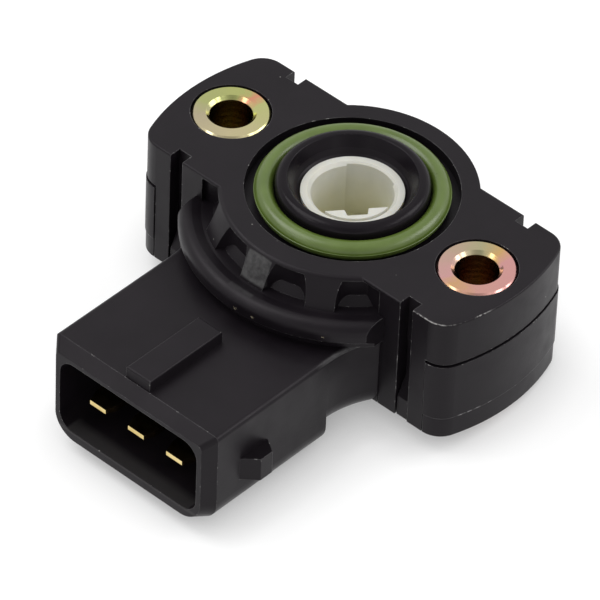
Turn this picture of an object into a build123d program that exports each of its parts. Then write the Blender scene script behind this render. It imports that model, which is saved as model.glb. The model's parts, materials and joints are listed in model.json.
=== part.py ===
"""Rotary accelerator pedal position sensor with a two-hole flange and a three-pin plug socket.

Millimetres. The origin is on the rotor axis in the mounting face. X runs along the two holes,
-Y points out of the plug socket and +Z points out of the mounting face.
"""
import os
from math import atan2, cos, degrees, hypot, radians, sin, sqrt

from build123d import *

# Mounting flange
hole_spacing = 32.0
ear_wall = 1.425
flange_half_depth = 8.8
ear_corner_r = 2.5
flange_thickness = 5.4
flange_edge_r = 0.2
seam_groove = 0.3
mould_step = 0.08
mould_line_height = 2.35

# Compression sleeves pressed into the ears
sleeve_od = 7.75
sleeve_bore = 4.3
sleeve_edge = 0.2
sleeve_lead = 0.35
sleeve_fit = 0.05
sleeve_relief_width = 0.13
sleeve_relief_depth = 0.6

# Barrel that holds the mechanism
barrel_wall = 2.0
roof_thickness = 3.2

# Toothed front wall and the ledge ring in front of it
front_wall_extra = 0.5
tooth_angles = (-120.0, -90.0, -60.0)
tooth_width = 2.9
tooth_flare = 1.45
tooth_top_r = 0.5
pocket_wall_extra = 0.35
pocket_corner_r = 1.5
pocket_foot_reach = 0.65
pocket_foot_height = 0.95
pocket_roof = 0.35
pocket_end_depth = 0.5
pocket_end_inset = 0.15
ledge_depth = 3.05
ledge_step = 0.2
ledge_slope_run = 0.9
ledge_reach = 3.9
ledge_rim_width = 1.3
ledge_edge_r = 1.1
ledge_wall_height = 1.8
ledge_undercut = 0.8
ledge_end_step = 0.3

# Face seal and pilot collar
collar_r = 7.525
collar_height = 1.4
collar_lip = 1.15
collar_round = 0.8
collar_edge_r = 0.15
collar_foot = 0.35
seal_section = 1.9
seal_gap = 0.06
seal_groove_width = 2.925
seal_groove_depth = 1.33

# Snap slots in the long edges
slot_inset = 1.04
slot_width = 1.58
slot_depth = 1.27
leg_width = 1.85
column_width = 2.17
body_side_step = 0.6
cover_gap = 0.1
hook_side_gap = 0.15
hook_height = 4.85
hook_face_height = 2.35

# Plug socket and its neck
shroud_half_width = 10.54
shroud_top_depth = 6.06
shroud_height = 11.22
shroud_corner_r = 2.6
shroud_top_r = 0.5
shroud_length = 30.9
shroud_bevel_length = 1.2
shroud_bevel_side = 1.04
shroud_bevel_top = 1.09
shroud_back = 14.5
cavity_side_wall = 1.59
cavity_top_wall = 1.54
cavity_bottom_wall = 1.03
cavity_corner_r = 1.8
cavity_length = 12.3
neck_drop = 0.85
neck_step_run = 0.7
neck_flare_width = 1.46
neck_flare_r = 10.5
guide_rib_width = 3.1
guide_rib_height = 1.26
guide_rib_front = 1.3
guide_rib_length = 9.9
guide_rib_edge = 0.2
lug_front = 4.3
lug_length = 3.8
lug_ramp = 1.33
lug_back_ramp = 0.9
lug_rise = 1.5
lug_drop = 4.64
lug_height = 2.7

# Terminals
pin_pitch = 5.0
pin_count = 3
pin_width = 2.8
pin_thickness = 0.8
pin_drop = 6.14
pin_setback = 1.15
pin_tip_length = 1.2
pin_tip_width = 2.05
pin_tip_thickness = 0.5
pin_tail_reach = 2.4

# Rotor and its bearings
hub_wall = 1.0
hub_setback = 0.3
bearing_fit = 0.05
bearing_wall = 1.4
bearing_length = 3.1
washer_thickness = 0.25
end_float = 0.05
drive_bore_r = 4.05
drive_bore_depth = 6.6
drive_bore_edge = 0.35
drive_flat = 2.65
drive_flat_angle = -39.5
drive_key_depth = 0.85
drive_key_floor = 1.95
drive_key_mouth = 2.36
drive_step_depth = 0.15
drive_step_sweep = 80.0
disc_margin = 0.99
disc_thickness = 1.8
lower_hub_r = 3.6
journal_r = 2.5
journal_length = 1.8
socket_wall = 1.5
socket_height = 2.485
socket_step = 0.15
socket_end_gap = 0.2

# Travel stops
travel_angle = 100.0
stop_rest_angle = 200.0
stop_half_angle = 7.0
stop_gap_angle = 1.5
stop_rib_half_angle = 6.0
stop_reach = 1.1
stop_clearance = 0.4

# Wiper and resistor plate
plate_thickness = 0.635
cover_thickness = 1.115
plate_edge_gap = 0.2
wiper_angle = 40.0
wiper_block_half_angle = 17.0
wiper_block_step = 1.0
wiper_block_margin = 0.2
wiper_height = 1.7
wiper_sheet = 0.2
wiper_half_width = 1.9
wiper_finger_count = 3
wiper_finger_width = 0.5
wiper_finger_reach = 2.3
wiper_track_gap = 0.08

# Return spring of square wire
spring_wire = 0.62
spring_clearance = 0.69
spring_pitch = 0.9
spring_end_gap = 0.24
spring_leg_length = 2.4
spring_stop_half_angle = 4.0
spring_stop_gap_angle = 1.0
spring_stop_margin = 0.4
spring_stop_height = 0.9

# Places worked out from the sizes above
hole_x = hole_spacing / 2
ear_end_r = hole_x + sleeve_od / 2 + ear_wall
hub_r = drive_bore_r + hub_wall
bore_r = hub_r + bearing_fit
bearing_r = bore_r + bearing_wall
spring_mean_r = bearing_r + spring_clearance + spring_wire / 2
disc_r = spring_mean_r + spring_wire / 2 + disc_margin
chamber_r = disc_r + stop_reach + stop_clearance
barrel_r = chamber_r + barrel_wall
front_wall_r = barrel_r + front_wall_extra
pocket_wall_r = barrel_r + pocket_wall_extra
ledge_r = front_wall_r + ledge_reach
ledge_inner_r = ledge_r - ledge_rim_width
ledge_floor_r = ledge_inner_r - ledge_slope_run
ledge_floor_z = -ledge_depth - ledge_step
seal_r = collar_r + seal_gap + seal_section / 2
seal_groove_r = collar_r + seal_groove_width
slot_x = hole_x - slot_inset
slot_inner = slot_x - slot_width / 2
slot_outer = slot_x + slot_width / 2
leg_outer = slot_outer + leg_width
leg_back = flange_half_depth - slot_depth
column_inner = slot_inner - column_width
body_half_width = column_inner + body_side_step
ledge_half_width = column_inner + ledge_end_step
pocket_half_width = ledge_half_width - pocket_end_inset
pin_z = -shroud_top_depth - pin_drop
plate_top_z = pin_z - pin_thickness / 2
cover_floor_z = plate_top_z - plate_thickness
base_z = cover_floor_z - cover_thickness
shroud_bottom_z = -shroud_top_depth - shroud_height
neck_bottom_z = base_z - neck_drop
lug_top_z = -shroud_top_depth - lug_drop
mouth_y = -shroud_length
cavity_half_width = shroud_half_width - cavity_side_wall
cavity_top_z = -shroud_top_depth - cavity_top_wall
cavity_bottom_z = shroud_bottom_z + cavity_bottom_wall
cavity_floor_y = mouth_y + cavity_length
bearing_end_z = -roof_thickness - bearing_length
disc_top_z = bearing_end_z - washer_thickness - end_float
disc_bottom_z = disc_top_z - disc_thickness
socket_r = journal_r + bearing_fit
socket_top_z = cover_floor_z + socket_height
lower_hub_z = socket_top_z + socket_step
journal_end_z = lower_hub_z - journal_length
wiper_top_z = plate_top_z + wiper_height
wiper_inner_r = lower_hub_r + wiper_block_step
wiper_outer_r = disc_r - wiper_block_margin
spring_low_z = disc_top_z + spring_end_gap + spring_wire / 2
spring_high_z = -roof_thickness - spring_end_gap - spring_wire / 2
spring_head_angle = 360.0 * (spring_high_z - spring_low_z) / spring_pitch
spring_leg_angle = degrees(atan2(spring_leg_length, spring_mean_r))
spring_stop_angle = spring_leg_angle + spring_stop_gap_angle + spring_stop_half_angle
far = 60.0


def block(x_range, y_range, z_range):
    """Box between two limits on each axis."""
    sizes = [high - low for low, high in (x_range, y_range, z_range)]
    middle = [(high + low) / 2 for low, high in (x_range, y_range, z_range)]
    return Pos(*middle) * Box(*sizes)


def prism(outline, z_low, z_high):
    """Plan outline raised between two heights."""
    return Pos(0, 0, z_low) * extrude(outline, amount=z_high - z_low)


def rod(radius, z_low, z_high):
    """Upright cylinder on the rotor axis."""
    return prism(Circle(radius), z_low, z_high)


def tube(outer, inner, z_low, z_high):
    """Upright pipe on the rotor axis."""
    return prism(Circle(outer) - Circle(inner), z_low, z_high)


def turned(profile):
    """Solid of revolution about the rotor axis from (radius, z) points."""
    return revolve(Plane.XZ * make_face(Polyline(*profile, close=True)), Axis.Z)


def sector(inner, outer, centre_angle, half_angle, z_low, z_high):
    """Part of a pipe between two angles."""
    reach = 2 * outer
    sides = [radians(centre_angle - half_angle), radians(centre_angle + half_angle)]
    corners = [(reach * cos(side), reach * sin(side)) for side in sides]
    wedge = make_face(Polyline((0, 0), *corners, close=True))
    return prism((Circle(outer) - Circle(inner)) & wedge, z_low, z_high)


def mirrored(solid):
    """The solid and its twin across the YZ plane."""
    return [solid, mirror(solid, about=Plane.YZ)]


def four_corners(solid):
    """The solid at its own place and mirrored to the other three quarters."""
    return [twin for half in mirrored(solid) for twin in (half, mirror(half, about=Plane.XZ))]


def flange_outline(grow=0.0):
    """Two ears with arc ends and rounded corners."""
    blank = Circle(ear_end_r + grow) & Rectangle(2 * far, 2 * (flange_half_depth + grow))
    return fillet(blank.vertices(), ear_corner_r)


def upright_profile(half_width, z_low, z_high, low_r, high_r):
    """Rounded rectangle in the XZ plane with its own radius at the bottom and at the top."""
    middle = (z_low + z_high) / 2
    face = Pos(0, middle) * Rectangle(2 * half_width, z_high - z_low)
    face = fillet(face.vertices().filter_by(lambda corner: corner.Y < middle), low_r)
    return fillet(face.vertices().group_by(Axis.Y)[-1], high_r)


def along_y(profile, y_front, y_back):
    """XZ profile carried from the front to the back."""
    return extrude(Plane.XZ.offset(-y_back) * profile, amount=y_back - y_front)


def sleeve(side):
    """Steel sleeve that takes the load of a mounting screw."""
    ring = Circle(sleeve_od / 2) - Circle(sleeve_bore / 2)
    body = Pos(side * hole_x, 0, base_z) * extrude(ring, amount=-base_z)
    middle_r = (sleeve_od + sleeve_bore) / 4
    rims = body.edges().filter_by(GeomType.CIRCLE)
    body = chamfer(rims.filter_by(lambda rim: rim.radius > middle_r), sleeve_edge)
    rims = body.edges().filter_by(GeomType.CIRCLE)
    return chamfer(rims.filter_by(lambda rim: rim.radius < middle_r), sleeve_lead)


def sleeve_holes(z_low, z_high):
    """Holes for both sleeves, with a shallow relief at the mounting face."""
    holes = []
    for side in (-1, 1):
        holes.append(Pos(side * hole_x, 0) * rod(sleeve_od / 2 + sleeve_fit, z_low, z_high))
        relief_r = sleeve_od / 2 + sleeve_relief_width
        holes.append(Pos(side * hole_x, 0) * rod(relief_r, -sleeve_relief_depth, far))
    return holes


def terminal(x):
    """Flat blade with a tapered tip, straight through the neck to the resistor plate."""
    tip_y = mouth_y + pin_setback
    shoulder_y = tip_y + pin_tip_length
    tail_y = -chamber_r + pin_tail_reach
    centre = Pos(x, pin_z)
    blade = along_y(centre * Rectangle(pin_width, pin_thickness), shoulder_y, tail_y)
    shoulder = Plane.XZ.offset(-shoulder_y) * (centre * Rectangle(pin_width, pin_thickness))
    tip = Plane.XZ.offset(-tip_y) * (centre * Rectangle(pin_tip_width, pin_tip_thickness))
    return blade + loft([shoulder, tip])


def terminals():
    """All the blades, from left to right."""
    first = -(pin_count - 1) / 2
    return [terminal((first + index) * pin_pitch) for index in range(pin_count)]


def shroud():
    """Outside of the plug socket with its bevelled mouth, guide rib and latch lugs."""
    bevel_y = mouth_y + shroud_bevel_length
    low, high = shroud_bottom_z, -shroud_top_depth
    outside = upright_profile(shroud_half_width, low, high, shroud_corner_r, shroud_top_r)
    mouth = upright_profile(
        shroud_half_width - shroud_bevel_side, low, high - shroud_bevel_top, shroud_corner_r, shroud_top_r
    )
    body = along_y(outside, bevel_y, -shroud_back)
    body += loft([Plane.XZ.offset(-bevel_y) * outside, Plane.XZ.offset(-mouth_y) * mouth])
    rib_front = mouth_y + guide_rib_front
    rib = block(
        (-guide_rib_width / 2, guide_rib_width / 2),
        (rib_front, rib_front + guide_rib_length),
        (high - shroud_top_r, high + guide_rib_height),
    )
    body += fillet(rib.edges().group_by(Axis.Z)[-1], guide_rib_edge)
    start = mouth_y + lug_front
    end = start + lug_length
    ridge = shroud_half_width + lug_rise
    root = shroud_half_width - shroud_top_r
    lug = make_face(Polyline(
        (root, start), (shroud_half_width, start), (ridge, start + lug_ramp),
        (ridge, end - lug_back_ramp), (shroud_half_width, end), (root, end), close=True
    ))
    return body + mirrored(prism(lug, lug_top_z - lug_height, lug_top_z))


def neck():
    """Neck between the socket and the barrel, flared at the barrel and stepped up on the underside."""
    rear_y = -flange_half_depth - hook_side_gap
    flare_start = rear_y - sqrt(neck_flare_r ** 2 - (neck_flare_r - neck_flare_width) ** 2)
    half = shroud_half_width + neck_flare_width
    plan = Pos(0, (rear_y - shroud_back) / 2) * Rectangle(2 * half, shroud_back + rear_y)
    bend_x = shroud_half_width + neck_flare_r
    beside = Pos(bend_x, flare_start) * Circle(neck_flare_r)
    beside += Pos(bend_x, flare_start - far) * Rectangle(2 * neck_flare_r, 2 * far)
    plan -= mirrored(beside)
    body = prism(plan, neck_bottom_z, -shroud_top_depth)
    heights = body.edges().filter_by(Axis.Z, reverse=True).group_by(Axis.Z)
    body = fillet(heights[0].filter_by(Axis.X, reverse=True), shroud_corner_r)
    heights = body.edges().filter_by(Axis.Z, reverse=True).group_by(Axis.Z)
    body = fillet(heights[-1].filter_by(Axis.X, reverse=True), shroud_top_r)
    ramp = make_face(Polyline(
        (-shroud_back, shroud_bottom_z), (-shroud_back + neck_step_run, neck_bottom_z),
        (-shroud_back, neck_bottom_z), close=True
    ))
    inner_half = shroud_half_width - shroud_corner_r
    body += extrude(Plane.YZ.offset(-inner_half) * ramp, amount=2 * inner_half)
    return body + block(
        (-column_inner, column_inner),
        (rear_y, -leg_back),
        (cover_floor_z + cover_gap, -shroud_top_depth),
    )


def front_part():
    """Space in front of the flange's slots, between the ends of the ledge."""
    return block((-ledge_half_width, ledge_half_width), (-far, -leg_back), (-far, far))


def ledge():
    """Ring in front of the toothed wall, with a rounded rim and an undercut below it."""
    inner = barrel_r - barrel_wall / 2
    wall_z = -ledge_depth - ledge_wall_height
    foot_r = ledge_r - ledge_undercut
    face = make_face(Polyline(
        (inner, -shroud_top_depth), (foot_r, -shroud_top_depth), (foot_r, wall_z - ledge_undercut),
        (ledge_r, wall_z), (ledge_r, -ledge_depth), (ledge_inner_r, -ledge_depth),
        (ledge_floor_r, ledge_floor_z), (inner, ledge_floor_z), close=True
    ))
    rim = face.vertices().group_by(Axis.Y)[-1].sort_by(Axis.X)[-1]
    return revolve(Plane.XZ * fillet(rim, ledge_edge_r), Axis.Z) & front_part()


def toothed_wall():
    """Sloped skirt that the pockets divide into teeth."""
    inner = barrel_r - barrel_wall / 2
    face = make_face(Polyline(
        (inner, ledge_floor_z), (front_wall_r + tooth_flare, ledge_floor_z), (front_wall_r, 0),
        (inner, 0), close=True
    ))
    shoulder = face.vertices().group_by(Axis.Y)[-1].sort_by(Axis.X)[-1]
    return revolve(Plane.XZ * fillet(shoulder, tooth_top_r), Axis.Z) & front_part()


def pockets():
    """Gaps between the teeth, and a wider one at each end in front of the flange."""
    front_y = -flange_half_depth + pocket_end_depth
    front = Pos(0, front_y - far) * Rectangle(2 * pocket_half_width, 2 * far)
    plan = (Circle(ledge_floor_r) - Circle(pocket_wall_r)) & front
    for angle in tooth_angles:
        plan -= Rot(0, 0, angle) * (Pos(far, 0) * Rectangle(2 * far, tooth_width))
    roots = plan.vertices().filter_by(
        lambda corner: corner.Y < -flange_half_depth and hypot(corner.X, corner.Y) < front_wall_r
    )
    return prism(fillet(roots, pocket_corner_r), ledge_floor_z, -pocket_roof)


def pocket_feet():
    """Slope at the foot of the wall behind the pockets."""
    inner = barrel_r - barrel_wall / 2
    ring = turned([
        (inner, ledge_floor_z), (pocket_wall_r + pocket_foot_reach, ledge_floor_z),
        (pocket_wall_r, ledge_floor_z + pocket_foot_height), (inner, ledge_floor_z + pocket_foot_height),
    ])
    return ring & front_part()


def pilot_collar():
    """Ring that centres the sensor, with a rounded lip and a cone down to the rotor."""
    lip_inner = collar_r - collar_lip
    base_z = -seal_groove_depth - collar_lip
    face = make_face(Polyline(
        (collar_r, base_z), (collar_r, collar_height), (lip_inner, collar_height),
        (bore_r + collar_foot, -hub_setback), (bore_r, -hub_setback - collar_foot),
        (bore_r, base_z), close=True
    ))
    face = fillet(face.vertices().group_by(Axis.Y)[-1].sort_by(Axis.X)[-1], collar_round)
    lip = face.vertices().filter_by(lambda corner: abs(corner.X - lip_inner) < collar_edge_r / 2)
    return revolve(Plane.XZ * fillet(lip, collar_edge_r), Axis.Z)


def stop_ribs():
    """Two ribs on the barrel wall that end the rotor's travel."""
    offset = stop_half_angle + stop_gap_angle + stop_rib_half_angle
    angles = (stop_rest_angle - offset, stop_rest_angle + travel_angle + offset)
    inner = disc_r + stop_clearance
    outer = chamber_r + barrel_wall / 2
    return [
        sector(inner, outer, angle, stop_rib_half_angle, disc_bottom_z, -roof_thickness)
        for angle in angles
    ]


def housing():
    """Main moulding: ears, barrel, seal groove, pilot collar, toothed wall, ledge and plug socket."""
    seam_z = -flange_thickness
    groove_z = seam_z + seam_groove
    body = prism(flange_outline(), groove_z, 0)
    body = fillet(body.edges().group_by(Axis.Z)[-1], flange_edge_r)
    body += prism(flange_outline(-seam_groove), seam_z, groove_z)
    body += rod(barrel_r, cover_floor_z, 0)
    body += toothed_wall()
    body -= pockets()
    body += pocket_feet()
    body += ledge()
    body += block(
        (-body_half_width, body_half_width),
        (-flange_half_depth, flange_half_depth),
        (cover_floor_z, groove_z),
    )
    guard = block((column_inner, leg_outer), (leg_back, flange_half_depth), (base_z, groove_z))
    body += four_corners(guard)
    body += neck()
    body += shroud()
    body -= rod(chamber_r, cover_floor_z, -roof_thickness)
    body += tube(bearing_r, bore_r, bearing_end_z, -roof_thickness)
    body += stop_ribs()
    body -= tube(seal_groove_r, collar_r, -seal_groove_depth, far)
    body -= rod(collar_r, -seal_groove_depth, far)
    body += pilot_collar()
    body -= rod(bore_r, bearing_end_z, -hub_setback - collar_foot)
    slot = block((slot_inner, slot_outer), (flange_half_depth - slot_depth, far), (-far, far))
    body -= four_corners(slot)
    cavity = upright_profile(
        cavity_half_width, cavity_bottom_z, cavity_top_z, cavity_corner_r, cavity_corner_r
    )
    body -= along_y(cavity, mouth_y - 1, cavity_floor_y)
    body -= sleeve_holes(-far, far)
    body -= terminals()
    return body + spring_stop(spring_head_angle + spring_stop_angle, -roof_thickness - spring_stop_height)


def rear_cover():
    """Cover with tall ear caps, four snap hooks and the lower rotor bearing."""
    seam_z = -flange_thickness
    gap = cover_gap
    cap_inner = body_half_width + gap
    clear_of_legs = four_corners(
        block((column_inner - gap, leg_outer + gap), (leg_back - gap, far), (-far, far))
    )
    base_outline = flange_outline() + (Circle(barrel_r) & (Pos(0, far) * Rectangle(2 * far, 2 * far)))
    cover = prism(base_outline, base_z, cover_floor_z)
    right_half = block((cap_inner, far), (-far, far), (-far, far))
    split_z = base_z + mould_line_height
    cap = prism(flange_outline(), cover_floor_z, split_z) & right_half
    cap += prism(flange_outline(mould_step), split_z, seam_z) & right_half
    cap -= rod(barrel_r + gap, cover_floor_z, seam_z)
    cover += mirrored(cap)
    cover -= clear_of_legs
    hook_half = slot_width / 2 - hook_side_gap
    hook_face_y = flange_half_depth - hook_side_gap
    root_y = leg_back - gap
    wedge = make_face(Polyline(
        (root_y - gap, base_z), (hook_face_y, base_z), (hook_face_y, base_z + hook_face_height),
        (root_y, base_z + hook_height), (root_y - gap, base_z + hook_height), close=True
    ))
    cover += four_corners(extrude(Plane.YZ.offset(slot_x - hook_half) * wedge, amount=2 * hook_half))
    cover += rod(socket_r + socket_wall, cover_floor_z, socket_top_z)
    cover -= rod(socket_r, journal_end_z - socket_end_gap, socket_top_z)
    return cover - sleeve_holes(-far, seam_z)[::2]


def drive_bore_outline():
    """Round bore with one flat, a key groove in the flat and a shallow step on the far side."""
    reach = 2 * drive_bore_r
    kept_side = Pos(drive_flat - reach, 0) * Rectangle(2 * reach, 2 * reach)
    floor_x = drive_flat + drive_key_depth
    key = make_face(Polyline(
        (0, -drive_key_mouth / 2), (drive_flat, -drive_key_mouth / 2), (floor_x, -drive_key_floor / 2),
        (floor_x, drive_key_floor / 2), (drive_flat, drive_key_mouth / 2), (0, drive_key_mouth / 2),
        close=True
    ))
    sides = [radians(180.0), radians(180.0 - drive_step_sweep)]
    corners = [(reach * cos(side), reach * sin(side)) for side in sides]
    step = Circle(drive_bore_r + drive_step_depth) & make_face(Polyline((0, 0), *corners, close=True))
    return Rot(0, 0, drive_flat_angle) * ((Circle(drive_bore_r) & kept_side) + key + step)


def rotor():
    """Moulded rotor: keyed hub, disc with a stop lug, wiper block and lower journal."""
    top_z = -hub_setback
    body = rod(hub_r, disc_top_z, top_z)
    body += rod(disc_r, disc_bottom_z, disc_top_z)
    body += rod(lower_hub_r, lower_hub_z, disc_bottom_z)
    body += rod(journal_r, journal_end_z, lower_hub_z)
    body += sector(
        lower_hub_r, disc_r + stop_reach, stop_rest_angle, stop_half_angle, disc_bottom_z, disc_top_z
    )
    body += sector(
        wiper_inner_r, wiper_outer_r, wiper_angle, wiper_block_half_angle, wiper_top_z, disc_bottom_z
    )
    body -= prism(drive_bore_outline(), top_z - drive_bore_depth, top_z)
    edge = turned([
        (drive_bore_r, top_z),
        (drive_bore_r + drive_bore_edge, top_z),
        (drive_bore_r, top_z - drive_bore_edge),
    ])
    body -= edge
    return body + spring_stop(-spring_stop_angle, disc_top_z)


def spring_stop(angle, z_low):
    """Short rib that a leg of the spring pushes against with its end."""
    inner = spring_mean_r - spring_stop_margin
    outer = disc_r - spring_stop_margin / 2
    return sector(inner, outer, angle, spring_stop_half_angle, z_low, z_low + spring_stop_height)


def return_spring():
    """Torsion spring round the bearing with a straight leg at each end."""
    coil = Pos(0, 0, spring_low_z) * Helix(spring_pitch, spring_high_z - spring_low_z, spring_mean_r)
    start, end = coil @ 0, coil @ 1
    foot = Line(start - (coil % 0) * spring_leg_length, start)
    head = Line(end, end + (coil % 1) * spring_leg_length)
    path = Wire([foot.edge(), coil.edge(), head.edge()])
    section = Plane(origin=path @ 0, x_dir=(1, 0, 0), z_dir=path % 0) * Rectangle(spring_wire, spring_wire)
    return sweep(section, path=path, is_frenet=True)


def thrust_washer():
    """Thin washer between the bearing and the rotor disc."""
    return tube(bearing_r, bore_r + bearing_fit, bearing_end_z - washer_thickness, bearing_end_z)


def flange_seal():
    """Round rubber ring in the groove of the mounting face."""
    z = -seal_groove_depth + seal_gap + seal_section / 2
    return Pos(0, 0, z) * Torus(seal_r, seal_section / 2)


def resistor_plate():
    """Ceramic ring that carries the resistor tracks, laid on the cover."""
    inner = socket_r + socket_wall + plate_edge_gap
    return tube(chamber_r - plate_edge_gap, inner, cover_floor_z, plate_top_z)


def wiper():
    """Spring sheet under the wiper block, with fingers bent down to the tracks."""
    inner = wiper_inner_r + wiper_sheet
    outer = wiper_outer_r - wiper_sheet
    top = wiper_top_z
    sheet = block((inner, outer), (-wiper_half_width, wiper_half_width), (top - wiper_sheet, top))
    tip_z = plate_top_z + wiper_track_gap
    root_y = wiper_half_width - wiper_sheet
    tip_y = root_y + wiper_finger_reach
    finger = make_face(Polyline(
        (root_y, top), (root_y + wiper_sheet, top), (tip_y, tip_z), (tip_y - wiper_sheet, tip_z),
        (root_y, top - wiper_sheet), close=True
    ))
    step = (outer - inner - wiper_finger_width) / (wiper_finger_count - 1)
    for index in range(wiper_finger_count):
        place = Plane.YZ.offset(inner + index * step)
        sheet += extrude(place * finger, amount=wiper_finger_width)
    return Rot(0, 0, wiper_angle) * sheet


def main():
    """Write every piece to its own file."""
    pieces = {
        "housing": housing(),
        "rear_cover": rear_cover(),
        "sleeve_left": sleeve(-1),
        "sleeve_right": sleeve(1),
        "flange_seal": flange_seal(),
        "rotor": rotor(),
        "thrust_washer": thrust_washer(),
        "return_spring": return_spring(),
        "wiper": wiper(),
        "resistor_plate": resistor_plate(),
    }
    for index, blade in enumerate(terminals(), start=1):
        pieces[f"terminal_{index}"] = blade
    os.makedirs("parts", exist_ok=True)
    for name, solid in pieces.items():
        export_step(solid, f"parts/{name}.step")


main()
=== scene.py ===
"""Looks of a rotary pedal position sensor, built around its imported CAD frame."""
import json
from math import cos, pi, radians, sin

import bpy
from mathutils import Matrix, Vector


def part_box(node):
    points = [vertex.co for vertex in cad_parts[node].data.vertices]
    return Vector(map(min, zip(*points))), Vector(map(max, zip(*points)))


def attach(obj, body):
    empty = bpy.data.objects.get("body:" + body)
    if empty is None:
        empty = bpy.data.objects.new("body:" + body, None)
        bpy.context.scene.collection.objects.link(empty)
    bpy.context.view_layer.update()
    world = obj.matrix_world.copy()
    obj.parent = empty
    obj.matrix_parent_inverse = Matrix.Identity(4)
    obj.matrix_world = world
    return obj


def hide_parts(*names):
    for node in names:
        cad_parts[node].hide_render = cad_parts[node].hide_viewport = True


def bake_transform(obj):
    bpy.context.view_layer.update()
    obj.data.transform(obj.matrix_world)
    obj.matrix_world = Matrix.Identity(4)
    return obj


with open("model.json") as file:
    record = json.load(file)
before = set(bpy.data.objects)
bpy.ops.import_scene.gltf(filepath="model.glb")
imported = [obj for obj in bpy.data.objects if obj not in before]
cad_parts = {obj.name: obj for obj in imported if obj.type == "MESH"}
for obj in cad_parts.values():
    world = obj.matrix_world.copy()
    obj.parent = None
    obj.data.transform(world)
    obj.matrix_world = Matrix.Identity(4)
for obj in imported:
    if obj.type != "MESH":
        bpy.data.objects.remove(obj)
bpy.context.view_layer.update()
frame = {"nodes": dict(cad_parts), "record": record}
nodes = frame["nodes"]

# Lengths below are in millimetres, angles in degrees and powers in watts; Blender works in metres
MM = 0.001

# A span below is (low, high), and a spread is (low, high, new low, new high), as spread() takes it

# Camera fitted to the photograph
PHOTO_SIZE = 600
CAMERA_AZIMUTH = 41.272
CAMERA_ELEVATION = 42.273
CAMERA_ROLL = 2.373
CAMERA_DISTANCE = 657.553
CAMERA_RIGHT = -5.06
CAMERA_UP = -10.69
CAMERA_CLIP = (50.0, 20000.0)
FOCAL_PIXELS = 6857.7
SENSOR_WIDTH = 36.0

# Floor through the two lines that the part rests on, as (y, z)
FRONT_REST = (-14.5, -17.28)
BACK_REST = (12.3, -14.35)
FLOOR_HALF = 1500.0
FLOOR_TONE = (0.5, 0.5, 0.5, 1.0)

# White that the floor adds where it is seen, in the open and, less as painted shadow, close under a
# part
FLOOR_LIFT = 0.62
PAINTED_SHADOW_LIFT = 0.35 * FLOOR_LIFT
PAINTED_SHADOW_REACH = 4.5
PAINTED_SHADOW_SAMPLES = 8

# Lamps: name, place, aim, width and power
LAMPS = (
    ("key", (-260, -120, 420), (0, 0, -5), 320, 1.1),
    ("fill", (330, -330, 200), (0, 0, -8), 640, 0.6),
    ("left", (-170, -342, 293), (0, 0, -2), 120, 0.16),
    ("right", (363, 122, 293), (0, 0, -2), 120, 0.16),
    ("rim", (240, 320, 300), (0, 0, -5), 260, 0.85),
)
WORLD_LIGHT = 0.45
WHITE = (1.0, 1.0, 1.0, 1.0)

# Dark side of the room that mirror images show: its direction, its spread and its level
ROOM_AZIMUTH = 41.0
ROOM_ELEVATION = 36.0
ROOM_SPREAD = (16.0, 36.0)
ROOM_LEVEL = 0.12

# Noise patterns, as (features for each metre, detail), and the span that most values lie in
NOISE_ROUGHNESS = 0.55
NOISE_SPAN = (0.3, 0.7)
PLASTIC_CLOUD = (160.0, 3.0)
PLASTIC_PATCH = (520.0, 2.0)
PLASTIC_SCUFF = (1500.0, 4.0)
PLASTIC_SHEEN = (340.0, 4.0)
PLASTIC_GRAIN = (4200.0, 2.0)
CHIP_NOISE = (2600.0, 4.0)
NICK_NOISE = (2100.0, 3.0)
CRUMB_NOISE = (6000.0, 3.0)
STEEL_STRAY = (420.0, 3.0)
STEEL_SMEAR = (900.0, 3.0)
RUBBER_CLOUD = (260.0, 3.0)
RUBBER_FINE = (2600.0, 2.0)
IVORY_CLOUD = (300.0, 3.0)
IVORY_FINE = (1800.0, 2.0)
METAL_CLOUD = (700.0, 4.0)
METAL_FINE = (3000.0, 2.0)
SHEET_CLOUD = (500.0, 4.0)

# Dark and light tone of each material
HOUSING_TONES = ((0.0056, 0.0042, 0.0058), (0.0088, 0.0068, 0.009))
COVER_TONES = ((0.0064, 0.005, 0.0066), (0.0098, 0.0078, 0.01))
RUBBER_TONES = ((0.077, 0.122, 0.017), (0.111, 0.166, 0.032))
IVORY_TONES = ((0.63, 0.625, 0.56), (0.7, 0.695, 0.635))
IVORY_SHADED_TONES = ((0.62, 0.6, 0.4), (0.7, 0.68, 0.5))
WASHER_TONES = ((0.7, 0.7, 0.66), (0.82, 0.82, 0.78))
CERAMIC_TONES = ((0.72, 0.7, 0.66), (0.84, 0.83, 0.8))
SPRING_TONES = ((0.4, 0.4, 0.41), (0.58, 0.58, 0.59))
CONTACT_TONES = ((0.6, 0.44, 0.15), (0.86, 0.7, 0.34))

# Lowest and highest roughness of each material
HOUSING_ROUGH = (0.33, 0.46)
COVER_ROUGH = (0.31, 0.44)
STEEL_ROUGH = (0.12, 0.24)
RUBBER_ROUGH = (0.24, 0.38)
IVORY_ROUGH = (0.34, 0.48)
SHEET_ROUGH = (0.42, 0.6)
SPRING_ROUGH = (0.28, 0.36)
CONTACT_ROUGH = (0.1, 0.18)

# Bumps, as (strength, depth)
PATCH_BUMP = (0.2, 0.03)
GRAIN_BUMP = (0.3, 0.015)
FACE_BUMP = (0.1, 0.01)
BORE_BUMP = (0.15, 0.03)
RUBBER_BUMP = (0.2, 0.02)
IVORY_BUMP = (0.15, 0.02)
METAL_BUMP = (0.05, 0.01)

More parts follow.
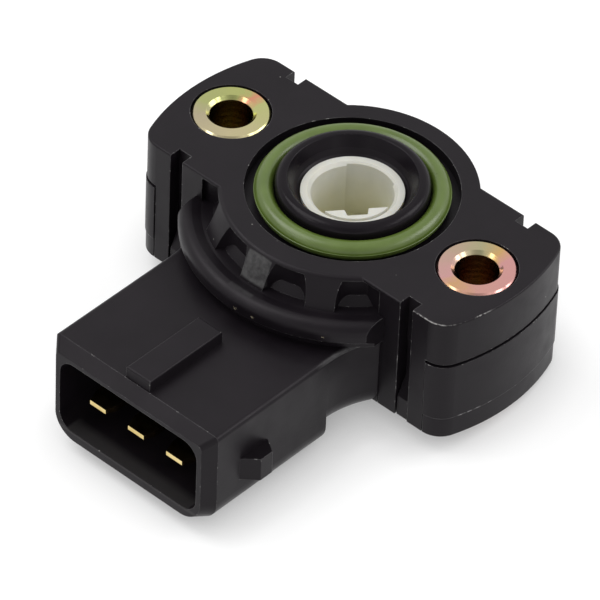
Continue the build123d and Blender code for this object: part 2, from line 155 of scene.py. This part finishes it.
# Shine of the black plastic, and of the pilot collar, which is smoother above the mounting face
PLASTIC_SHINE = 0.17
PLASTIC_SHINE_TINT = (1.0, 0.955, 0.99, 1.0)
COLLAR_SHINE = 0.11
COLLAR_ROUGH_PART = 0.55
POLISHED_ABOVE = (0.05, 0.4)

# Sharp moulded edges: the radius at which they catch the light, and what counts as an outer edge
EDGE_RADIUS = 0.12
EDGE_SAMPLES = 6
EDGE_TURN = (0.99, 0.88)
OPEN_REACH = 3 * EDGE_RADIUS
OPEN_SAMPLES = 4
OPEN_SPAN = (0.8, 0.96)

# Outer edges lighter in patches, partly wear and partly painted highlight where they catch the light,
# and small bright nicks in them
EDGE_HIGHLIGHT_WEAR_SPREAD = (0.42, 0.62, 0.25, 0.95)
EDGE_HIGHLIGHT_WEAR_TONE = (0.13, 0.127, 0.13)
NICK_SPAN = (0.61, 0.67)
NICK_TONE = (0.5, 0.49, 0.48)

# Rough gate on the middle tooth, and how soft its ends are across and in height
GATE_X = (-1.45, 1.45)
GATE_Y = (-12.85, -12.95)
GATE_Z = (-3.0, -0.25)
GATE_SOFT = (0.05, 0.1)
GATE_SPREAD = (0.3, 0.65, 0.35, 1.0)
GATE_TONE = (0.085, 0.084, 0.084)

# Crumbs of flash on the ledge ring
FLASH_CRUMBS = ((0.36, -16.7, -4.5), (2.4, -16.5, -4.5), (9.1, -14.0, -4.3))
CRUMB_SIZE = 0.24
CRUMB_SPAN = (0.42, 0.6)
CRUMB_TONE = (0.24, 0.21, 0.15)

# Painted highlight with some chipping on the rounded top edge of the right ear: from where to where
# it grows, and the tilt of that edge
EAR_HIGHLIGHT_X = (14.0, 16.0)
EAR_HIGHLIGHT_Y = (-2.5, -5.0)
EAR_HIGHLIGHT_Z = (-0.24, -0.16)
EAR_HIGHLIGHT_TILT = (0.45, 0.85)
EAR_HIGHLIGHT_TILT_SOFT = 0.1
CHIP_PATCH_SPAN = (0.36, 0.5)
CHIP_SPAN = (0.42, 0.58)
EAR_HIGHLIGHT_CHIP_TONE = (0.4, 0.39, 0.38)

# Marks on the mould line of the right ear's cap, and how soft their ends are along it and in height
MOULD_MARK_X = (17.0, 17.1)
MOULD_MARK_Y = (-6.6, -3.0)
MOULD_MARK_Z = (-12.1, -11.9)
MOULD_MARK_SOFT = (0.2, 0.03)
MOULD_MARK_SPAN = (0.46, 0.56)
MOULD_MARK_TONE = (0.3, 0.29, 0.29)

# Painted highlight on the rounded upper edge of the neck's flare on the right, and how soft its ends
# are along it and in height
FLARE_HIGHLIGHT_X = (9.9, 10.3)
FLARE_HIGHLIGHT_Y = (-15.2, -10.8)
FLARE_HIGHLIGHT_Z = (-6.6, -6.0)
FLARE_HIGHLIGHT_SOFT = (0.9, 0.1)
FLARE_HIGHLIGHT_TILT = (0.3, 0.93)
FLARE_HIGHLIGHT_TILT_SOFT = 0.07
FLARE_HIGHLIGHT_SPREAD = (0.3, 0.6, 0.5, 1.0)
FLARE_HIGHLIGHT_TONE = (0.075, 0.073, 0.075)

# Floor of the plug socket, which is lighter near the mouth
SOCKET_MOUTH_Y = (-29.8, -28.8)
SOCKET_MOUTH_Z = (-16.45, -16.05)
SOCKET_MOUTH_SOFT = 0.05
SOCKET_MOUTH_TONE = (0.03, 0.028, 0.029)

# Dust specks: cells for each metre, radii of a dot and its core in cells, pick that gives a cell one
SPECK_CELLS = 620.0
SPECK_RADII = (0.055, 0.033)
SPECK_PICK = (0.86, 0.87)
SPECK_TONE = (0.2, 0.195, 0.185)

# Colours round the plated sleeves, as (part of the turn from -X, colour), and how far they stray
GOLD_DRIFT = (
    (0.0, (0.4, 0.42, 0.17)), (0.12, (0.45, 0.39, 0.26)), (0.37, (0.53, 0.46, 0.27)),
    (0.68, (0.48, 0.49, 0.2)), (0.75, (0.66, 0.27, 0.17)), (0.82, (0.42, 0.44, 0.16)),
    (1.0, (0.4, 0.42, 0.17)),
)
ROSE_DRIFT = (
    (0.0, (0.5, 0.36, 0.27)), (0.18, (0.6, 0.33, 0.32)), (0.25, (0.6, 0.36, 0.18)),
    (0.33, (0.6, 0.32, 0.27)), (0.66, (0.62, 0.31, 0.3)), (0.74, (0.6, 0.38, 0.15)),
    (0.84, (0.41, 0.38, 0.22)), (1.0, (0.5, 0.36, 0.27)),
)
STRAY_SPREAD = (0.2, 0.8, -0.06, 0.06)

# Radii over which a sleeve's bore goes over to its face, the bore's tone and the turning marks
SLEEVE_BORE_EDGE = (2.12, 2.2)
SLEEVE_BORE_TONE = (0.26, 0.18, 0.075)
FACE_WAVES = {"Scale": 1600.0, "Distortion": 0.6, "Detail": 1.0}
BORE_WAVES = {"Scale": 420.0, "Distortion": 3.0, "Detail": 3.0}

# Translucent ivory, and the depths between which painted shade darkens and yellows its tone, as down
# the drive bore
IVORY_GLOW = 0.35
IVORY_GLOW_RADIUS = (1.0, 0.85, 0.6)
IVORY_GLOW_REACH = 0.8
IVORY_DEPTHS = (-1.2, -6.8)

# Mould flash round the seal
RING_STEPS = 160
FLASH_ROOT = 0.12
FLASH_REACH = 0.06
FLASH_HALF = 0.045
FLASH_TIP_HALF = FLASH_HALF / 3
FLASH_RISE = 0.12


def in_metres(lengths):
    """Lengths in millimetres as metres."""
    return tuple(length * MM for length in lengths)


def towards(azimuth, elevation):
    """Direction at an azimuth from -Y and an elevation."""
    turn, rise = radians(azimuth), radians(elevation)
    return Vector((sin(turn) * cos(rise), -cos(turn) * cos(rise), sin(rise)))


def add(name, data):
    """New object in the scene."""
    made = bpy.data.objects.new(name, data)
    bpy.context.scene.collection.objects.link(made)
    return made


def connect(tree, target, inputs):
    """Fills a node's inputs: a socket is linked, anything else is the value."""
    for key, value in inputs.items():
        if isinstance(value, bpy.types.NodeSocket):
            tree.links.new(value, target.inputs[key])
        else:
            target.inputs[key].default_value = value


def node(tree, kind, inputs=None, **settings):
    """A shader node with its settings, values and incoming links."""
    made = tree.nodes.new(kind)
    for key, value in settings.items():
        setattr(made, key, value)
    connect(tree, made, inputs or {})
    return made


def combine(tree, operation, first, second):
    """Two numbers put through an operation."""
    made = node(tree, "ShaderNodeMath", {0: first, 1: second}, operation=operation)
    return made.outputs["Value"]


def product(tree, first, *others):
    """Numbers multiplied."""
    for other in others:
        first = combine(tree, "MULTIPLY", first, other)
    return first


def spread(tree, value, low, high, new_low=0.0, new_high=1.0):
    """Maps a value from one range to another and clamps it."""
    made = node(tree, "ShaderNodeMapRange", {
        "Value": value, "From Min": low, "From Max": high, "To Min": new_low, "To Max": new_high,
    })
    return made.outputs["Result"]


def within(tree, value, span, soft):
    """1 inside a span, with soft ends."""
    low, high = span
    rise = spread(tree, value, low - soft, low + soft)
    return product(tree, rise, spread(tree, value, high - soft, high + soft, 1.0, 0.0))


def axes(tree, vector):
    """X, Y and Z of a vector."""
    return tuple(node(tree, "ShaderNodeSeparateXYZ", {"Vector": vector}).outputs)


def tilt(tree):
    """How far the surface looks up: 1 on a level top."""
    return axes(tree, node(tree, "ShaderNodeNewGeometry").outputs["Normal"])[2]


def openness(tree, reach, samples):
    """1 where nothing is within reach, less in corners."""
    made = node(tree, "ShaderNodeAmbientOcclusion", {"Distance": reach * MM}, samples=samples)
    return made.outputs["AO"]


def noise(tree, coords, pattern):
    """Noise value of a pattern."""
    scale, detail = pattern
    made = node(tree, "ShaderNodeTexNoise", {
        "Vector": coords, "Scale": scale, "Detail": detail, "Roughness": NOISE_ROUGHNESS,
    })
    return made.outputs["Fac"]


def ramp(tree, factor, stops):
    """Colour ramp with (position, colour) stops."""
    made = node(tree, "ShaderNodeValToRGB", {"Fac": factor})
    elements = made.color_ramp.elements
    while len(elements) < len(stops):
        elements.new(0.5)
    for element, (position, colour) in zip(elements, stops):
        element.position = position
        element.color = (*colour, 1.0)
    return made.outputs["Color"]


def mottle(tree, cloud, tones):
    """Colour that drifts between a dark and a light tone."""
    return ramp(tree, cloud, tuple(zip(NOISE_SPAN, tones)))


def live(sockets, name):
    """The socket of a name that is in use, as a Mix node has one for each kind of data."""
    return next(socket for socket in sockets if socket.name == name and socket.enabled)


def mix(tree, factor, first, second, kind="RGBA"):
    """Colour between two colours, or vector between two vectors."""
    made = node(tree, "ShaderNodeMix", data_type=kind)
    for name, value in (("Factor", factor), ("A", first), ("B", second)):
        socket = live(made.inputs, name)
        if isinstance(value, bpy.types.NodeSocket):
            tree.links.new(value, socket)
        else:
            socket.default_value = (*value, 1.0)
    return live(made.outputs, "Result")


def bump(tree, height, shape, normal=None):
    """Normal with bumps of a (strength, depth), on top of another normal where one is given."""
    strength, depth = shape
    inputs = {"Height": height, "Strength": strength, "Distance": depth * MM}
    if normal is not None:
        inputs["Normal"] = normal
    return node(tree, "ShaderNodeBump", inputs).outputs["Normal"]


def new_material(name):
    """Material with its node tree, main shader and object coordinates."""
    material = bpy.data.materials.new(name)
    material.use_nodes = True
    tree = material.node_tree
    coords = node(tree, "ShaderNodeTexCoord").outputs["Object"]
    return material, tree, tree.nodes["Principled BSDF"], coords


def rounded_edges(tree):
    """Normal that rounds the outer edges only, and a mask that is 1 on those edges."""
    bevel = node(tree, "ShaderNodeBevel", {"Radius": EDGE_RADIUS * MM}, samples=EDGE_SAMPLES)
    bevel = bevel.outputs["Normal"]
    surface = node(tree, "ShaderNodeNewGeometry").outputs["Normal"]
    turn = node(tree, "ShaderNodeVectorMath", {0: bevel, 1: surface}, operation="DOT_PRODUCT")
    outer = spread(tree, openness(tree, OPEN_REACH, OPEN_SAMPLES), *OPEN_SPAN)
    edge = product(tree, outer, spread(tree, turn.outputs["Value"], *EDGE_TURN))
    return mix(tree, outer, surface, bevel, "VECTOR"), edge


def gate_mark(tree, x, y, z):
    """1 on the rough face of the middle tooth."""
    side_soft, height_soft = in_metres(GATE_SOFT)
    side = within(tree, x, in_metres(GATE_X), side_soft)
    height = within(tree, z, in_metres(GATE_Z), height_soft)
    return product(tree, side, height, spread(tree, y, *in_metres(GATE_Y)))


def ear_edge_highlight(tree, x, y, z):
    """1 on the rounded top edge at the front of the right ear, where a highlight is painted."""
    rim = product(
        tree, within(tree, tilt(tree), EAR_HIGHLIGHT_TILT, EAR_HIGHLIGHT_TILT_SOFT),
        spread(tree, z, *in_metres(EAR_HIGHLIGHT_Z)),
    )
    place = product(
        tree, spread(tree, x, *in_metres(EAR_HIGHLIGHT_X)), spread(tree, y, *in_metres(EAR_HIGHLIGHT_Y)),
    )
    return product(tree, rim, place)


def flare_highlight_mask(tree, x, y, z):
    """1 on the rounded upper edge of the neck's flare on the right, where a highlight is painted."""
    length_soft, height_soft = in_metres(FLARE_HIGHLIGHT_SOFT)
    rim = product(
        tree, within(tree, tilt(tree), FLARE_HIGHLIGHT_TILT, FLARE_HIGHLIGHT_TILT_SOFT),
        within(tree, z, in_metres(FLARE_HIGHLIGHT_Z), height_soft),
    )
    place = product(
        tree, spread(tree, x, *in_metres(FLARE_HIGHLIGHT_X)),
        within(tree, y, in_metres(FLARE_HIGHLIGHT_Y), length_soft),
    )
    return product(tree, rim, place)


def socket_mouth_band(tree, y, z):
    """1 on the floor of the plug socket at its mouth, less further in."""
    level = within(tree, z, in_metres(SOCKET_MOUTH_Z), SOCKET_MOUTH_SOFT * MM)
    return product(tree, level, spread(tree, y, *in_metres(SOCKET_MOUTH_Y), 1.0, 0.0))


def mould_marks(tree, x, y, z):
    """1 on a stretch of the mould line of the right ear's cap."""
    length_soft, height_soft = in_metres(MOULD_MARK_SOFT)
    line = within(tree, z, in_metres(MOULD_MARK_Z), height_soft)
    stretch = within(tree, y, in_metres(MOULD_MARK_Y), length_soft)
    return product(tree, line, stretch, spread(tree, x, *in_metres(MOULD_MARK_X)))


def crumbs(tree, coords):
    """1 on the crumbs of flash, with ragged outlines."""
    ragged = noise(tree, coords, CRUMB_NOISE)
    ragged = spread(tree, ragged, *CRUMB_SPAN, 0.0, CRUMB_SIZE * MM)
    total = 0.0
    for place in FLASH_CRUMBS:
        away = node(tree, "ShaderNodeVectorMath", {
            0: coords, 1: in_metres(place),
        }, operation="DISTANCE").outputs["Value"]
        total = combine(tree, "MAXIMUM", combine(tree, "LESS_THAN", away, ragged), total)
    return total


def specks(tree, coords):
    """1 on scattered dots: one in each cell of a random pattern, kept in a share of the cells."""
    cell = node(tree, "ShaderNodeTexVoronoi", {"Vector": coords, "Scale": SPECK_CELLS}).outputs
    dot = spread(tree, cell["Distance"], *SPECK_RADII)
    pick = node(tree, "ShaderNodeSeparateColor", {"Color": cell["Color"]}).outputs["Red"]
    return product(tree, dot, spread(tree, pick, *SPECK_PICK))


def moulded_plastic(name, tones, rough, polished=False):
    """Black moulded plastic with a fine grain, dust, a gate mark, mould marks and flash crumbs,
    rounded edges with painted highlights and some wear, painted highlights on the right ear's top
    edge and the neck's flare, and a lighter band on the socket floor at its mouth.
    """
    material, tree, shader, coords = new_material(name)
    x, y, z = axes(tree, coords)
    patch = noise(tree, coords, PLASTIC_PATCH)
    scuff = noise(tree, coords, PLASTIC_SCUFF)
    rounded, edge = rounded_edges(tree)
    gate = product(tree, gate_mark(tree, x, y, z), spread(tree, scuff, *GATE_SPREAD))
    # Painted highlight, broken up like chipping, on the right ear's rounded top edge
    ear_highlight_chips = product(
        tree, ear_edge_highlight(tree, x, y, z), spread(tree, patch, *CHIP_PATCH_SPAN),
        spread(tree, noise(tree, coords, CHIP_NOISE), *CHIP_SPAN),
    )
    # Painted highlight on the upper edge of the neck's flare
    flare_highlight = product(tree, flare_highlight_mask(tree, x, y, z), spread(tree, scuff, *FLARE_HIGHLIGHT_SPREAD))
    nicks = product(tree, edge, spread(tree, noise(tree, coords, NICK_NOISE), *NICK_SPAN))
    line = product(tree, mould_marks(tree, x, y, z), spread(tree, scuff, *MOULD_MARK_SPAN))
    marks = (
        # Outer edges: painted highlight where they catch the light, partly wear
        (product(tree, edge, spread(tree, patch, *EDGE_HIGHLIGHT_WEAR_SPREAD)), EDGE_HIGHLIGHT_WEAR_TONE),
        (gate, GATE_TONE),
        (ear_highlight_chips, EAR_HIGHLIGHT_CHIP_TONE),
        (flare_highlight, FLARE_HIGHLIGHT_TONE),
        (socket_mouth_band(tree, y, z), SOCKET_MOUTH_TONE),
        (nicks, NICK_TONE),
        (line, MOULD_MARK_TONE),
        (crumbs(tree, coords), CRUMB_TONE),
        (specks(tree, coords), SPECK_TONE),
    )
    tone = mottle(tree, noise(tree, coords, PLASTIC_CLOUD), tones)
    for mask, colour in marks:
        tone = mix(tree, mask, tone, colour)
    shine = PLASTIC_SHINE
    roughness = spread(tree, noise(tree, coords, PLASTIC_SHEEN), *NOISE_SPAN, *rough)
    if polished:
        top = in_metres(POLISHED_ABOVE)
        shine = spread(tree, z, *top, PLASTIC_SHINE, COLLAR_SHINE)
        roughness = product(tree, roughness, spread(tree, z, *top, 1.0, COLLAR_ROUGH_PART))
    soft = bump(tree, patch, PATCH_BUMP, rounded)
    connect(tree, shader, {
        "Base Color": tone, "Roughness": roughness,
        "Specular IOR Level": shine, "Specular Tint": PLASTIC_SHINE_TINT,
        "Normal": bump(tree, noise(tree, coords, PLASTIC_GRAIN), GRAIN_BUMP, soft),
    })
    return material


def plated_steel(name, stops, centre_x):
    """Passivated steel: colours drift round the face, with turning marks on face and bore."""
    material, tree, shader, coords = new_material(name)
    moved = node(tree, "ShaderNodeVectorMath", {
        0: coords, 1: (-centre_x, 0.0, 0.0),
    }, operation="ADD").outputs["Vector"]
    flat = node(tree, "ShaderNodeVectorMath", {
        0: moved, 1: (1.0, 1.0, 0.0),
    }, operation="MULTIPLY").outputs["Vector"]
    radius = node(tree, "ShaderNodeVectorMath", {0: flat}, operation="LENGTH").outputs["Value"]
    turn = node(tree, "ShaderNodeTexGradient", {"Vector": moved}, gradient_type="RADIAL")
    stray = spread(tree, noise(tree, coords, STEEL_STRAY), *STRAY_SPREAD)
    drift = combine(tree, "ADD", turn.outputs["Fac"], stray)
    inside = spread(tree, radius, *in_metres(SLEEVE_BORE_EDGE), 1.0, 0.0)
    rings = node(tree, "ShaderNodeTexWave", {
        "Vector": moved, **FACE_WAVES,
    }, wave_type="RINGS", rings_direction="Z")
    turns = node(tree, "ShaderNodeTexWave", {
        "Vector": coords, **BORE_WAVES,
    }, wave_type="BANDS", bands_direction="Z")
    face = bump(tree, rings.outputs["Fac"], FACE_BUMP)
    smear = noise(tree, coords, STEEL_SMEAR)
    connect(tree, shader, {
        "Metallic": 1.0,
        "Base Color": mix(tree, inside, ramp(tree, drift, stops), SLEEVE_BORE_TONE),
        "Roughness": spread(tree, smear, *NOISE_SPAN, *STEEL_ROUGH),
        "Normal": bump(tree, turns.outputs["Fac"], BORE_BUMP, face),
    })
    return material


def green_rubber():
    """Satin green rubber of the face seal."""
    material, tree, shader, coords = new_material("green_rubber")
    cloud = noise(tree, coords, RUBBER_CLOUD)
    connect(tree, shader, {
        "Base Color": mottle(tree, cloud, RUBBER_TONES),
        "Roughness": spread(tree, cloud, *NOISE_SPAN, *RUBBER_ROUGH),
        "Normal": bump(tree, noise(tree, coords, RUBBER_FINE), RUBBER_BUMP),
    })
    return material


def ivory_plastic():
    """Natural nylon, slightly translucent, with painted shade that darkens and yellows it lower down,
    as in the drive bore.
    """
    material, tree, shader, coords = new_material("ivory_plastic")
    cloud = noise(tree, coords, IVORY_CLOUD)
    # Painted shade: darker and yellower lower down, as in the drive bore
    depth = spread(tree, axes(tree, coords)[2], *in_metres(IVORY_DEPTHS))
    outside = mottle(tree, cloud, IVORY_TONES)
    connect(tree, shader, {
        "Base Color": mix(tree, depth, outside, mottle(tree, cloud, IVORY_SHADED_TONES)),
        "Roughness": spread(tree, cloud, *NOISE_SPAN, *IVORY_ROUGH),
        "Subsurface Weight": IVORY_GLOW, "Subsurface Radius": IVORY_GLOW_RADIUS,
        "Subsurface Scale": IVORY_GLOW_REACH * MM,
        "Normal": bump(tree, noise(tree, coords, IVORY_FINE), IVORY_BUMP),
    })
    return material


def plain_metal(name, tones, rough):
    """Drawn or stamped metal with a faint grain."""
    material, tree, shader, coords = new_material(name)
    cloud = noise(tree, coords, METAL_CLOUD)
    connect(tree, shader, {
        "Metallic": 1.0,
        "Base Color": mottle(tree, cloud, tones),
        "Roughness": spread(tree, cloud, *NOISE_SPAN, *rough),
        "Normal": bump(tree, noise(tree, coords, METAL_FINE), METAL_BUMP),
    })
    return material


def pale_sheet(name, tones):
    """Pale washer or ceramic with a soft mottle."""
    material, tree, shader, coords = new_material(name)
    cloud = noise(tree, coords, SHEET_CLOUD)
    connect(tree, shader, {
        "Base Color": mottle(tree, cloud, tones),
        "Roughness": spread(tree, cloud, *NOISE_SPAN, *SHEET_ROUGH),
    })
    return material


def paint(material, *names):
    """Gives CAD nodes a material."""
    for name in names:
        for slot in nodes[name].material_slots:
            slot.material = material


def ring(name, profile, material, body):
    """Closed ring turned about the rotor axis from a small (radius, z) outline."""
    verts = []
    faces = []
    count = len(profile)
    for step in range(RING_STEPS):
        angle = 2 * pi * step / RING_STEPS
        verts += [(r * cos(angle), r * sin(angle), z) for r, z in profile]
        here, after = step * count, (step + 1) % RING_STEPS * count
        for side in range(count):
            other = (side + 1) % count
            faces.append((here + side, after + side, after + other, here + other))
    mesh = bpy.data.meshes.new(name)
    mesh.from_pydata(verts, [], faces)
    mesh.materials.append(material)
    for face in mesh.polygons:
        face.use_smooth = True
    made = add(name, mesh)
    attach(made, body)


def seal_flash(material):
    """Thin fin of rubber that the mould left round the seal."""
    low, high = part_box("flange_seal")
    root, tip = high[0] - FLASH_ROOT * MM, high[0] + FLASH_REACH * MM
    middle = (low[2] + high[2]) / 2 + FLASH_RISE * MM
    half, tip_half = in_metres((FLASH_HALF, FLASH_TIP_HALF))
    profile = [
        (root, middle + half), (root, middle - half),
        (tip, middle - tip_half), (tip, middle + tip_half),
    ]
    ring("seal_flash", profile, material, "body")


def winding_spring(material):
    """Return spring that winds up between the housing, at its top, and the rotor."""
    fixed = nodes["return_spring"]
    mesh = fixed.data.copy()
    mesh.transform(fixed.matrix_world)
    mesh.materials.clear()
    mesh.materials.append(material)
    coil = add("winding_spring", mesh)
    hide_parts("return_spring")
    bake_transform(coil)


def dress():
    """A material for every CAD node, and the two pieces that the CAD doesn't have."""
    hole_x = frame["record"]["mounts"][0]["dims"]["spacing_x_mm"] / 2 * MM
    rubber = green_rubber()
    steel = plain_metal("spring_steel", SPRING_TONES, SPRING_ROUGH)
    contact = plain_metal("contact_metal", CONTACT_TONES, CONTACT_ROUGH)
    paint(moulded_plastic("black_plastic", HOUSING_TONES, HOUSING_ROUGH, polished=True), "housing")
    paint(moulded_plastic("cover_plastic", COVER_TONES, COVER_ROUGH), "rear_cover")
    paint(plated_steel("plated_steel_gold", GOLD_DRIFT, -hole_x), "sleeve_left")
    paint(plated_steel("plated_steel_rose", ROSE_DRIFT, hole_x), "sleeve_right")
    paint(rubber, "flange_seal")
    paint(ivory_plastic(), "rotor")
    paint(pale_sheet("washer_plastic", WASHER_TONES), "thrust_washer")
    paint(pale_sheet("ceramic", CERAMIC_TONES), "resistor_plate")
    paint(steel, "return_spring")
    paint(contact, "wiper", "terminal_1", "terminal_2", "terminal_3")
    seal_flash(rubber)
    winding_spring(steel)


def photo_camera():
    """Camera at the photograph's viewing angle."""
    turn, roll = radians(CAMERA_AZIMUTH), radians(CAMERA_ROLL)
    back = towards(CAMERA_AZIMUTH, CAMERA_ELEVATION)
    level = Vector((cos(turn), sin(turn), 0.0))
    upright = back.cross(level)
    right = level * cos(roll) + upright * sin(roll)
    up = upright * cos(roll) - level * sin(roll)
    facing = Matrix((right, up, back)).transposed().to_4x4()
    place = (back * CAMERA_DISTANCE + right * CAMERA_RIGHT + up * CAMERA_UP) * MM
    camera = add("camera", bpy.data.cameras.new("camera"))
    camera.matrix_world = Matrix.Translation(place) @ facing
    camera.data.sensor_width = SENSOR_WIDTH
    camera.data.lens = FOCAL_PIXELS * SENSOR_WIDTH / PHOTO_SIZE
    camera.data.clip_start, camera.data.clip_end = in_metres(CAMERA_CLIP)
    bpy.context.scene.camera = camera


def seen_directly(tree):
    """1 for rays that show the background itself or its mirror image."""
    path = node(tree, "ShaderNodeLightPath").outputs
    total = path["Is Camera Ray"]
    for other in ("Is Glossy Ray", "Is Transmission Ray"):
        total = combine(tree, "MAXIMUM", total, path[other])
    return total


def mirrored(tree):
    """1 for rays that show a mirror image."""
    return node(tree, "ShaderNodeLightPath").outputs["Is Glossy Ray"]


def pale_paper():
    """Paper that is white where it is seen, with a painted shadow close under a part, and clear from
    below.
    """
    material = bpy.data.materials.new("floor")
    material.use_nodes = True
    tree = material.node_tree
    tree.nodes.clear()
    paper = node(tree, "ShaderNodeBsdfDiffuse", {"Color": FLOOR_TONE}).outputs["BSDF"]
    # Painted shadow: less added white close under a part, though not in mirror images
    open_floor = openness(tree, PAINTED_SHADOW_REACH, PAINTED_SHADOW_SAMPLES)
    open_floor = combine(tree, "MAXIMUM", open_floor, mirrored(tree))
    lift = node(tree, "ShaderNodeEmission", {
        "Strength": spread(tree, open_floor, 0.0, 1.0, PAINTED_SHADOW_LIFT, FLOOR_LIFT),
    })
    white = node(tree, "ShaderNodeAddShader", {0: paper, 1: lift.outputs["Emission"]})
    lit = node(tree, "ShaderNodeMixShader", {
        0: seen_directly(tree), 1: paper, 2: white.outputs["Shader"],
    })
    below = node(tree, "ShaderNodeNewGeometry").outputs["Backfacing"]
    clear = node(tree, "ShaderNodeBsdfTransparent").outputs["BSDF"]
    choice = node(tree, "ShaderNodeMixShader", {0: below, 1: lit.outputs["Shader"], 2: clear})
    node(tree, "ShaderNodeOutputMaterial", {"Surface": choice.outputs["Shader"]})
    return material


def floor():
    """Pale floor through the two lines that the part rests on."""
    (y_front, z_front), (y_back, z_back) = FRONT_REST, BACK_REST
    slope = (z_back - z_front) / (y_back - y_front)
    corners = []
    for x, y in ((-1, -1), (1, -1), (1, 1), (-1, 1)):
        x, y = x * FLOOR_HALF, y * FLOOR_HALF
        corners.append(Vector((x, y, z_front + slope * (y - y_front))) * MM)
    mesh = bpy.data.meshes.new("floor")
    mesh.from_pydata(corners, [], [(0, 1, 2, 3)])
    mesh.materials.append(pale_paper())
    add("floor", mesh)


def softbox(name, place, aim, width, power):
    """Square area lamp, turned to a point."""
    data = bpy.data.lights.new(name, "AREA")
    data.size = width * MM
    data.energy = power
    lamp = add(name, data)
    lamp.location = Vector(place) * MM
    lamp.rotation_mode = "QUATERNION"
    lamp.rotation_quaternion = (Vector(aim) - Vector(place)).to_track_quat("-Z", "Y")


def studio():
    """Soft lamps, and a world that is white where it is seen, with a dark side for mirror images."""
    for lamp in LAMPS:
        softbox(*lamp)
    world = bpy.data.worlds.new("studio")
    bpy.context.scene.world = world
    world.use_nodes = True
    tree = world.node_tree
    sky = node(tree, "ShaderNodeTexCoord").outputs["Generated"]
    facing = node(tree, "ShaderNodeVectorMath", {
        0: sky, 1: towards(ROOM_AZIMUTH, ROOM_ELEVATION),
    }, operation="DOT_PRODUCT").outputs["Value"]
    inner, outer = (cos(radians(angle)) for angle in ROOM_SPREAD)
    room = spread(tree, facing, inner, outer, ROOM_LEVEL, 1.0)
    strength = product(
        tree, spread(tree, seen_directly(tree), 0.0, 1.0, WORLD_LIGHT, 1.0),
        spread(tree, mirrored(tree), 0.0, 1.0, 1.0, room),
    )
    connect(tree, tree.nodes["Background"], {"Color": WHITE, "Strength": strength})


dress()
photo_camera()
floor()
studio()
bpy.context.scene.view_settings.view_transform = "Standard"
